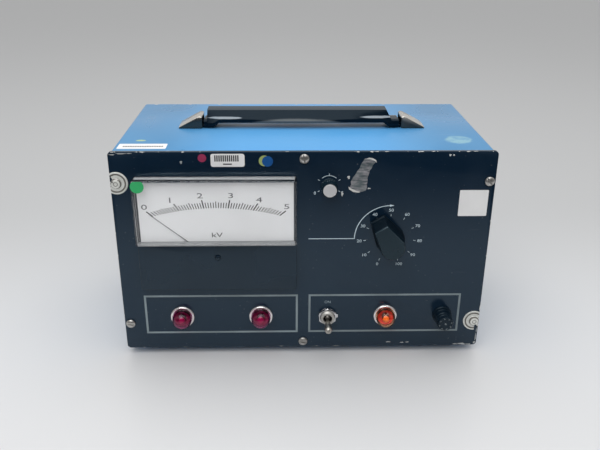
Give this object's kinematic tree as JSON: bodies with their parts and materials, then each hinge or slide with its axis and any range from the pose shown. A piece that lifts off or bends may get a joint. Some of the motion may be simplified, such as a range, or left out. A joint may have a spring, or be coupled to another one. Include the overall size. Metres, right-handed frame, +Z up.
{
  "type": "hipot tester",
  "caption": "Bench hipot tester: steel cabinet with strap handle, panel meter, pilot lamps, power toggle, variable transformer knob, leakage trip knob and fuse holder.",
  "frame": {"origin": "on the surface under the feet, in the middle of the overall box", "axes": "+X to the right as seen from the front panel, +Y from the front panel to the rear panel, +Z up"},
  "size_m": [0.3048, 0.187, 0.1989],
  "materials": {
    "blue_paint": "light blue baked enamel, semi-gloss, worn at the edges",
    "panel_paint": "dark navy enamel, glossy",
    "black_plastic": "moulded phenolic, glossy",
    "clear_plastic": "clear moulded acrylic",
    "dial_white": "flat white with printed scale",
    "nickel": "nickel plated, slightly dull",
    "chrome": "bright plated",
    "steel": "zinc plated",
    "rubber": "matt",
    "plum_lens": "translucent plum, glossy",
    "amber_lens": "translucent amber red, glossy",
    "copper": "enamelled copper wire",
    "laminations": "varnished steel laminations",
    "board": "glass fibre board",
    "fuse_glass": "clear tube with metal ends"
  },
  "bodies": {
    "case": {"case_body": "blue_paint", "rear_panel": "blue_paint", "front_panel": "panel_paint", "panel_screw_top": "steel", "panel_screw_bottom": "steel", "panel_screw_left_upper": "steel", "panel_screw_left_lower": "steel", "panel_screw_right_upper": "steel", "panel_screw_right_lower": "steel", "rear_screw_left_lower": "steel", "rear_screw_left_upper": "steel", "rear_screw_right_lower": "steel", "rear_screw_right_upper": "steel", "foot_front_left": "rubber", "foot_front_right": "rubber", "foot_rear_left": "rubber", "foot_rear_right": "rubber", "handle_cap_left": "nickel", "handle_cap_right": "nickel", "meter_case": "black_plastic", "meter_cover": "clear_plastic", "meter_lower_cover": "black_plastic", "meter_dial": "dial_white", "meter_movement": "steel", "arc_lamp_bezel": "chrome", "arc_lamp_lens": "plum_lens", "arc_lamp_socket": "black_plastic", "leak_lamp_bezel": "chrome", "leak_lamp_lens": "plum_lens", "leak_lamp_socket": "black_plastic", "supply_lamp_bezel": "chrome", "supply_lamp_lens": "amber_lens", "supply_lamp_socket": "black_plastic", "toggle_body": "steel", "toggle_lock_washer": "chrome", "toggle_nut": "chrome", "pot_body": "steel", "pot_nut": "chrome", "variac_base": "steel", "variac_core": "copper", "variac_nut": "steel", "fuse_holder_body": "black_plastic", "fuse_holder_nut": "black_plastic", "transformer_core": "laminations", "transformer_coil": "copper", "circuit_board": "board", "supply_cord_bushing": "black_plastic", "test_lead_bushing": "black_plastic"},
    "handle": {"handle_grip": "black_plastic"},
    "needle": {"meter_needle": "black_plastic"},
    "zero_screw": {"zero_adjust_screw": "black_plastic"},
    "toggle": {"toggle_lever": "chrome"},
    "leak_rotor": {"pot_shaft": "steel", "leak_knob": "black_plastic", "leak_knob_disc": "chrome"},
    "variac_rotor": {"variac_shaft": "steel", "variac_brush_arm": "copper", "variac_knob": "black_plastic"},
    "fuse_carrier": {"fuse": "fuse_glass"},
    "fuse_cap_body": {"fuse_cap": "black_plastic"}
  },
  "joints": [
    {"name": "handle_lift", "type": "slide", "parent": "case", "child": "handle", "axis": [0, 0, 1], "range_m": [0, 0.003], "stiffness_N_per_m": 1500},
    {"name": "needle_swing", "type": "hinge", "parent": "case", "child": "needle", "pos_m": [-0.0701, -0.0751, 0.0901], "axis": [0, 1, 0], "range_deg": [0, 102], "stiffness_Nm_per_rad": 0.0002, "springref_deg": -5.73},
    {"name": "zero_screw_turn", "type": "hinge", "parent": "case", "child": "zero_screw", "pos_m": [-0.0701, -0.0765, 0.0956], "axis": [0, 1, 0], "range_deg": [-45, 45]},
    {"name": "power_toggle", "type": "hinge", "parent": "case", "child": "toggle", "pos_m": [0.0208, -0.0735, 0.0371], "axis": [-1, 0, 0], "range_deg": [0, 30]},
    {"name": "leakage_trip_turn", "type": "hinge", "parent": "case", "child": "leak_rotor", "pos_m": [0.0198, -0.08, 0.1557], "axis": [0, 1, 0], "range_deg": [0, 240]},
    {"name": "output_voltage_turn", "type": "hinge", "parent": "case", "child": "variac_rotor", "pos_m": [0.0705, -0.08, 0.1095], "axis": [0, 1, 0], "range_deg": [-126.8, 190.2]},
    {"name": "fuse_pull", "type": "slide", "parent": "case", "child": "fuse_carrier", "axis": [0, -1, 0], "range_m": [0, 0.034]},
    {"name": "fuse_cap_turn", "type": "hinge", "parent": "fuse_carrier", "child": "fuse_cap_body", "pos_m": [0.1196, -0.08, 0.0371], "axis": [0, -1, 0], "range_deg": [0, 90]}
  ]
}
